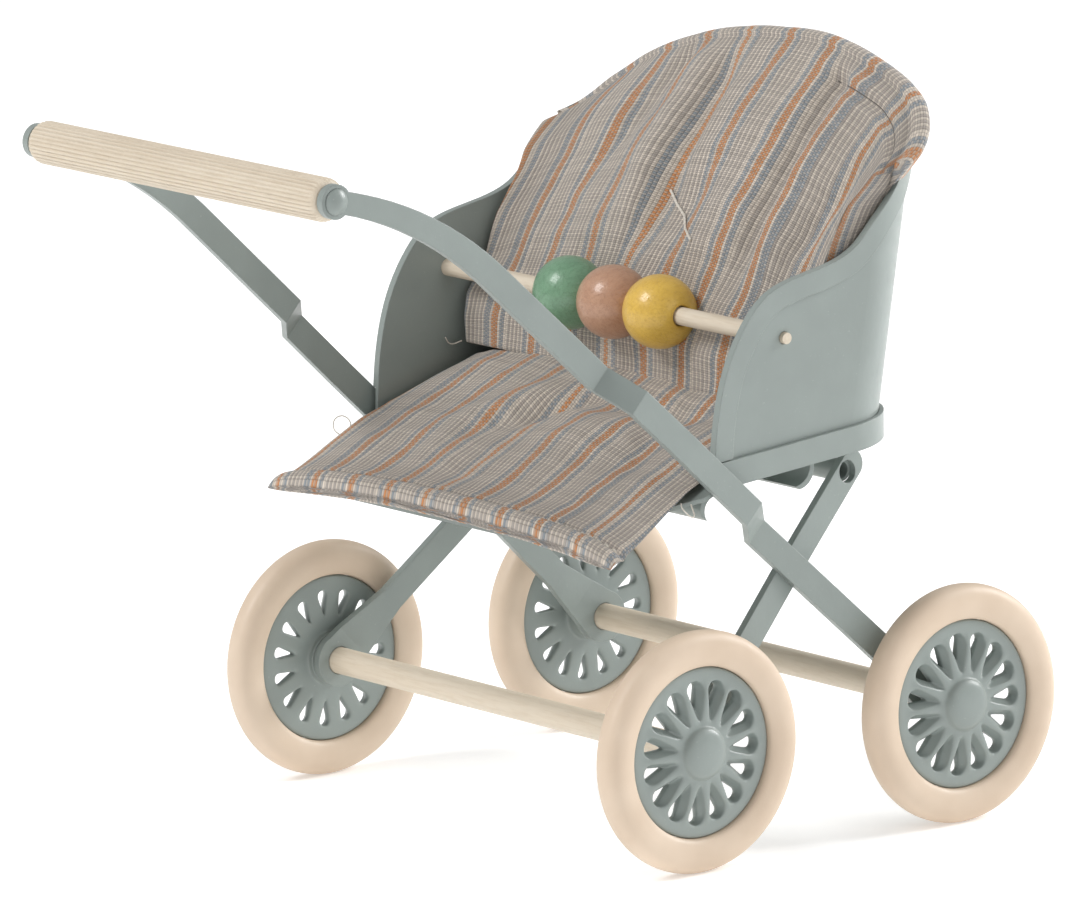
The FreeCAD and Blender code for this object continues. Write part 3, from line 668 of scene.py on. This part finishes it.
def shell_top(t):
    """The shell's arched edge at t, its outward direction there, and the way the back faces."""
    turn = t * SPAN
    x = ARCH_R * math.sin(turn)
    z = ARCH_Z + ARCH_R * math.cos(turn)
    out = Vector((math.sin(turn), 0.1, math.cos(turn)))
    return Vector((x, back_y(x, z), z)), out, back_normal(x)


def back_folds(x, s):
    """Forward push of the back cushion's face: long folds from the top, and the tacked dimple."""
    z = mix(58.2, 100.0, s)
    push = 1.7 * math.sin(math.pi * min(1.0, s * 1.15)) * (1 - (x / 36) ** 2)
    push -= 2.3 * bell(x + 3.0 + 0.10 * (z - 80), 2.3) * smooth(70, 79, z) * (1 - smooth(92, 100, z))
    push += 1.3 * bell(x + 8.0 + 0.10 * (z - 80), 2.8) * smooth(74, 84, z) * (1 - smooth(94, 101, z))
    push -= 2.3 * bell(x - 17.5, 2.0) * smooth(68, 78, z) * (1 - smooth(95, 102, z))
    push += 1.3 * bell(x - 22.5, 3.0) * smooth(66, 78, z)
    push -= 1.2 * bell(x - 28.5 - 0.3 * (z - 82), 1.6) * smooth(72, 80, z) * (1 - smooth(90, 97, z))
    push -= 2.3 * bell(math.hypot(x - 2.0, (z - 78.0) * 0.9), 4.2)
    push -= 1.2 * bell(x + 18.0 - 0.25 * (z - 85), 2.2) * smooth(80, 88, z)
    push += 0.85 * ripple(x, s * 42, 0.0, 0.11) + 0.32 * ripple(x, s * 42, 9.0, 0.32)
    push *= smooth(0.0, 0.12, s) * (1 - smooth(0.93, 1.0, s))
    return push


def back_loop(t):
    """One closed section of the back cushion, and each point's place on the cloth."""
    edge, out, facing = shell_top(t)
    rise = along(PUFF, edge.x)
    seam = edge + out * (rise - 0.7) - facing * 1.7
    crease = Vector((33.2 * t, 16.7, 57.2))
    weight = abs(t) ** 2.2
    forward = Vector((0, -0.86, 0.5))
    loop = []
    cloth = []
    for i in range(FACE_ROWS + 1):
        s = i / FACE_ROWS
        side = off_chord(SIDE_LINE, s)
        middle = off_chord(MIDDLE_LINE, s)
        point = crease.lerp(seam, s)
        point.y += mix(middle[0], side[0], weight)
        point.z += mix(middle[1], side[1], weight)
        limit = 34.2 if s < 0.72 else mix(34.2, 36.0, (s - 0.72) / 0.28)
        point.x = max(-limit, min(limit, point.x * (1 + 0.02 * math.sin(math.pi * s))))
        point.x += LEFT_TUCK * max(0.0, -t) ** 2 * bell(s - 0.64, 0.14)
        point += forward * back_folds(point.x, s) * (1 - abs(t) ** 6)
        point -= forward * 0.8 * bell(s - SEAM_INSET, 0.016) * smooth(0.3, 0.5, t)
        loop.append(point)
        cloth.append((mix(33.2 * t, 36.4 * t, s) + 3.4, 54 * s))
    narrowing = 1 - 0.8 * smooth(0.84, 1.0, -t)
    over = [(rise - 0.25, -1.45), (rise + 0.25, -1.0), (rise + 0.42, -0.35)]
    over += [(rise + 0.25, 0.4), (rise - 0.35, 0.95)]
    for i, (up, back) in enumerate(over):
        loop.append(edge + out * up * narrowing + facing * (back if back < 0 else back * narrowing))
        cloth.append((36.4 * t + 3.9, 54.6 + 0.6 * i))
    flap = max(2.4, (edge.z - 85.6) / max(0.3, out.z))
    for i in range(1, 13):
        depth = mix(-0.4 if rise < 1 else 0.4 - rise, flap, i / 12)
        ease = 1.0 + 0.25 * math.sin(i * 0.5) * (1 - abs(t) ** 4) + 0.12 * ripple(edge.x, i * 1.0, 3.0, 0.2)
        loop.append(edge - out * depth * narrowing + facing * mix(0.3, ease, narrowing))
        cloth.append((36.4 * t + 3.9, 57.6 + i * flap / 12))
    loop.append(edge - out * (flap + 0.25) + facing * 0.62)
    cloth.append((36.4 * t + 3.9, 57.9 + flap))
    for i in range(6):
        loop.append(edge - out * mix(flap, 0.0, i / 5) + facing * 0.28)
        cloth.append((36.4 * t + 3.9, 58.2 + flap))
    loop.append(edge + out * 0.35 - facing * 0.3)
    cloth.append((36.4 * t + 3.9, 58.2 + flap))
    inside = edge + out * 0.1 - facing * 1.0
    foot_x = 33.0 * t
    foot = Vector((foot_x, back_y(foot_x, 58.6, 1.1), 58.6))
    for i in range(17):
        share = i / 16
        x = max(-34.3, min(34.3, mix(inside.x, foot.x, share)))
        z = mix(inside.z, foot.z, share)
        y = mix(inside.y, back_y(x, z, 1.15), min(1.0, share * 6))
        loop.append(Vector((x, y, z)))
        cloth.append((36.4 * t + 3.9, 58.2 + 40 * share))
    for i in range(1, 6):
        loop.append(foot.lerp(crease, i / 6) + Vector((0, 0, -0.4 * math.sin(math.pi * i / 6))))
        cloth.append((33.2 * t + 3.9, 98 + 3 * i))
    return loop, cloth


def side_closing(section, side):
    """Sections that close the cushion's side: the cloth wraps on towards the middle of its thickness."""
    loop, cloth = section
    low, high = min(p.z for p in loop), max(p.z for p in loop)
    rows = []
    for i in range(1, 6):
        points = []
        flat = []
        for point, (u, v) in zip(loop, cloth):
            middle = mix(25.0, 35.0, (point.z - low) / (high - low))
            move = (middle - point.y) * i / 5
            points.append(point + Vector((0, move, 0)))
            flat.append((u + side * abs(move), v))
        rows.append((points, flat))
    return rows


def back_cushion():
    """The padded back: sections from side to side, with the band over the shell's top edge."""
    stations = 120
    sections = [back_loop(-1 + 2 * i / stations) for i in range(stations + 1)]
    sections = side_closing(sections[0], -1)[::-1] + sections + side_closing(sections[-1], 1)
    mesh = rings_mesh("back_cover", [s[0] for s in sections], [s[1] for s in sections])
    piece = new_piece("back_cover", mesh, "frame", CLOTH, ["back_cushion"], 1)
    return piece


back_cover = back_cushion()


# ---------------------------------------------------------------- seat cushion

SEAT_TOP = [(-14.6, 42.5), (-12.6, 43.7), (-10.4, 44.3), (-3.6, 47.9)]
SEAT_TOP += [(4.1, 51.6), (10.1, 54.4), (13.5, 55.9), (18.2, 57.6)]
SEAT_UNDER = [(-14.6, 40.3), (-12.6, 40.9), (-8.6, 43.3), (-5.3, 45.5)]
SEAT_UNDER += [(-0.2, 48.75), (4.1, 50.1), (18.2, 51.5)]
SEAT_WIDTH = [(-14.6, 36.6), (-12.0, 36.0), (-6.0, 35.3), (0.0, 34.6), (3.0, 34.1), (18.2, 33.9)]
SEAT_FRONT = -14.6
SEAT_REAR = 18.2


def seat_folds(x, y):
    """Height of the seat's folds over its plain crown."""
    lift = 1.4 * bell(x + 12 - 0.7 * (y - 4), 4.0) * bell(y - 5, 6.0)
    lift -= 1.7 * bell(x + 4 - 0.9 * (y - 6), 2.6) * bell(y - 8, 5.5)
    lift += 1.1 * bell(x - 8 - 0.5 * (y - 3), 5.0) * bell(y - 4, 7.0)
    lift -= 1.3 * bell(y - 9.5 - 0.15 * x, 2.2) * bell(x - 14, 12.0)
    lift -= 0.6 * bell(x - 22 + 0.4 * y, 2.4) * smooth(-6, 4, y)
    lift += 0.7 * ripple(x, y, 4.0, 0.12) + 0.3 * ripple(x, y, 1.0, 0.34)
    return lift


def seat_loop(y, squeeze):
    """One closed section of the seat cushion at depth y, and each point's place on the cloth."""
    half = along(SEAT_WIDTH, y)
    top = along(SEAT_TOP, y)
    under = along(SEAT_UNDER, y)
    front = 1 - smooth(SEAT_FRONT, SEAT_FRONT + 9, y)
    from_hem = y - SEAT_FRONT
    columns = 120
    loop = []
    cloth = []
    for i in range(columns + 1):
        a = -1 + 2 * i / columns
        x = half * a
        full = (1 - abs(a) ** 7) ** 0.5
        lift = 2.1 * front * (1 - abs(a) ** 2.3)
        middle = mix(under, top, 0.35)
        crown = (top - middle) * full + 1.1 * (1 - a * a) * (1 - front) * smooth(0.0, 4.0, from_hem)
        crown += seat_folds(x, y) * (1 - abs(a) ** 8) * smooth(1.5, 7.0, from_hem)
        crown += 0.55 * math.sin(math.pi * min(1.0, from_hem / 2.3)) - 0.6 * bell(from_hem - 2.6, 0.4)
        edge_wave = 0.25 * ripple(x, 0.0, 12.0, 0.25) * front
        loop.append(Vector((x, y + edge_wave, middle + lift + crown * squeeze)))
        cloth.append((x + 2.6 + 0.045 * (y + 14) * a, from_hem * 1.13))
    for i in range(columns - 1, 0, -1):
        a = -1 + 2 * i / columns
        x = half * a
        full = (1 - abs(a) ** 7) ** 0.5
        lift = 2.1 * front * (1 - abs(a) ** 2.3)
        middle = mix(under, top, 0.35)
        edge_wave = 0.25 * ripple(x, 0.0, 12.0, 0.25) * front
        loop.append(Vector((x, y + edge_wave, middle + lift - (middle - under) * full * squeeze)))
        cloth.append((x + 2.6, -from_hem * 1.13))
    return loop, cloth


def seat_cushion():
    """The padded seat: sections from the front hem to the crease under the back."""
    depths = [(SEAT_FRONT, 0.30), (SEAT_FRONT + 0.12, 0.72), (SEAT_FRONT + 0.4, 1.0)]
    depths += [(SEAT_FRONT + 0.4 + (SEAT_REAR - SEAT_FRONT - 1.2) * i / 84, 1.0) for i in range(1, 85)]
    depths += [(SEAT_REAR - 0.4, 0.8), (SEAT_REAR, 0.4)]
    sections = [seat_loop(y, squeeze) for y, squeeze in depths]
    mesh = rings_mesh("seat_pad", [s[0] for s in sections], [s[1] for s in sections])
    piece = new_piece("seat_pad", mesh, "frame", CLOTH, ["seat_cushion"], 1)
    return piece


seat_pad = seat_cushion()


# ---------------------------------------------------------------- threads


def on_face(piece, x, z):
    """The point of a piece's front at (x, z), in millimetres, seen from behind the stroller."""
    hit, point, _, _ = piece.ray_cast(Vector((x, -60, z)) * MM, Vector((0, 1, 0)))
    return point / MM if hit else None


def from_above(piece, x, y):
    """The point of a piece's top at (x, y), in millimetres."""
    hit, point, _, _ = piece.ray_cast(Vector((x, y, 90)) * MM, Vector((0, 0, -1)))
    return point / MM if hit else None


def thread(name, lines, radius, material):
    """Sewing thread: one smooth curve for each list of points in millimetres."""
    curve = bpy.data.curves.new(name, "CURVE")
    curve.dimensions = "3D"
    curve.bevel_depth = radius * MM
    curve.bevel_resolution = 2
    curve.use_fill_caps = True
    for points in lines:
        line = curve.splines.new("BEZIER")
        line.bezier_points.add(len(points) - 1)
        for knot, point in zip(line.bezier_points, points):
            knot.co = Vector(point) * MM
            knot.handle_left_type = "AUTO"
            knot.handle_right_type = "AUTO"
    curve.materials.append(material)
    piece = bpy.data.objects.new(name, curve)
    bpy.context.scene.collection.objects.link(piece)
    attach(piece, "frame")


def spun_thread(name, light, dark):
    """Matt twisted thread that runs from a light to a dark shade."""
    m = Nodes(name)
    twist = m.noise(m.place(), 4.0, 2.0)
    base = m.blend(m.spread(twist, 0.35, 0.65), light, dark)
    return m.finish(base, 0.85, m.bump(twist, 0.00003, 0.8), sheen=0.2)


def hem_stitches(seat):
    """Running stitches along the seat's front hem."""
    lines = []
    for i in range(-21, 22):
        x = 1.62 * i
        ends = [from_above(seat, x - 0.42, SEAT_FRONT + 2.5), from_above(seat, x + 0.42, SEAT_FRONT + 2.5)]
        if all(ends):
            middle = (ends[0] + ends[1]) / 2 + Vector((0, 0, 0.16))
            lines.append([ends[0] + Vector((-0.1, 0, -0.1)), middle, ends[1] + Vector((0.1, 0, -0.1))])
    return lines


def tacking_stitches(back):
    """The long stitches that tack the back cushion's face down."""
    points = []
    for i in range(5):
        x = mix(-3.3, 7.5, i / 4)
        z = mix(80.5, 75.8, (i / 4) ** 0.9)
        points.append(on_face(back, x, z) + Vector((0, -0.18, 0.08)))
    return [points[0:2], points[1:3], points[2:4], points[3:5]]


def seam_shadow_line():
    """A dark line along the seam on the back cushion's right shoulder, where its band begins: a painted
    shadow of the seam.
    """
    row = round(SEAM_INSET * FACE_ROWS)
    return [[back_loop(mix(0.42, 0.985, i / 24))[0][row] for i in range(25)]]


TWINE = spun_thread("twine", rgb(0.72, 0.68, 0.61), rgb(0.56, 0.51, 0.44))
# Near-black material for the curve laid along the seam: a painted shadow, not a real thread.
SEAM_SHADOW = spun_thread("painted_seam_shadow", rgb(0.13, 0.115, 0.10), rgb(0.09, 0.08, 0.07))
bpy.context.view_layer.update()
thread("hem_stitches", hem_stitches(seat_pad), 0.15, TWINE)
thread("tacking_stitches", tacking_stitches(back_cover), 0.19, TWINE)
thread("seam_shadow_line", seam_shadow_line(), 0.13, SEAM_SHADOW)
LEFT_LOOP = [(-34.6, -2.2, 46.4), (-36.2, -3.4, 47.8), (-36.6, -2.0, 49.2)]
LEFT_LOOP += [(-35.4, -1.2, 48.4), (-34.8, -2.6, 47.0)]
RIGHT_LOOP = [(34.6, -1.4, 47.8), (36.2, -2.2, 47.2), (36.4, -0.8, 46.2), (35.2, -0.2, 47.6)]
CREASE_TUFT = [(-33.4, 16.4, 57.6), (-34.3, 15.2, 57.2), (-34.2, 14.2, 58.2)]
thread("loose_threads", [LEFT_LOOP, RIGHT_LOOP, CREASE_TUFT], 0.09, TWINE)


# ---------------------------------------------------------------- floor, light and camera


def floor():
    """White paper under the stroller, which glows a little to stay white."""
    m = Nodes("paper")
    grain = m.noise(m.place((0.02, 0.02, 0.02)), 1.0)
    sheet = bpy.data.meshes.new("floor")
    reach = 6.0
    sheet.from_pydata(
        [(-reach, -reach, 0), (reach, -reach, 0), (reach, reach, 0), (-reach, reach, 0)], [], [(0, 1, 2, 3)]
    )
    m.shader.inputs["Emission Color"].default_value = rgb(1, 1, 1)
    m.shader.inputs["Emission Strength"].default_value = 0.30
    sheet.materials.append(m.finish(rgb(0.92, 0.92, 0.92), m.spread(grain, 0.2, 0.8, 0.85, 0.95)))
    piece = bpy.data.objects.new("floor", sheet)
    bpy.context.scene.collection.objects.link(piece)


def soft_box(name, place, aim, size, power):
    """A square area light at a place, turned to its aim."""
    light = bpy.data.lights.new(name, "AREA")
    light.shape = "SQUARE"
    light.size = size
    light.energy = power
    lamp = bpy.data.objects.new(name, light)
    bpy.context.scene.collection.objects.link(lamp)
    lamp.location = place
    lamp.rotation_euler = (Vector(aim) - Vector(place)).to_track_quat("-Z", "Y").to_euler()


def camera():
    """The view that was matched to the photograph."""
    lens = bpy.data.cameras.new("camera")
    lens.lens = 389.073
    lens.sensor_width = 36
    lens.clip_start = 0.1
    lens.clip_end = 20
    eye = bpy.data.objects.new("camera", lens)
    bpy.context.scene.collection.objects.link(eye)
    eye.location = (1.17943, -0.93647, 0.34422)
    eye.rotation_euler = [math.radians(a) for a in (78.93034, 0.64892, 51.33434)]
    bpy.context.scene.camera = eye


bpy.context.scene.view_settings.view_transform = "Standard"
floor()
world = bpy.data.worlds.new("studio")
bpy.context.scene.world = world
world.use_nodes = True
world.node_tree.nodes["Background"].inputs["Color"].default_value = rgb(1, 1, 1)
world.node_tree.nodes["Background"].inputs["Strength"].default_value = 0.44
CENTRE = (0, 0, 0.05)
soft_box("key", (-0.25, -0.85, 0.95), CENTRE, 0.5, 8.6)
soft_box("rim", (0.25, 0.9, 0.5), CENTRE, 0.45, 8.6)
soft_box("fill", (1.1, 0.1, 0.5), CENTRE, 0.7, 1.4)
camera()
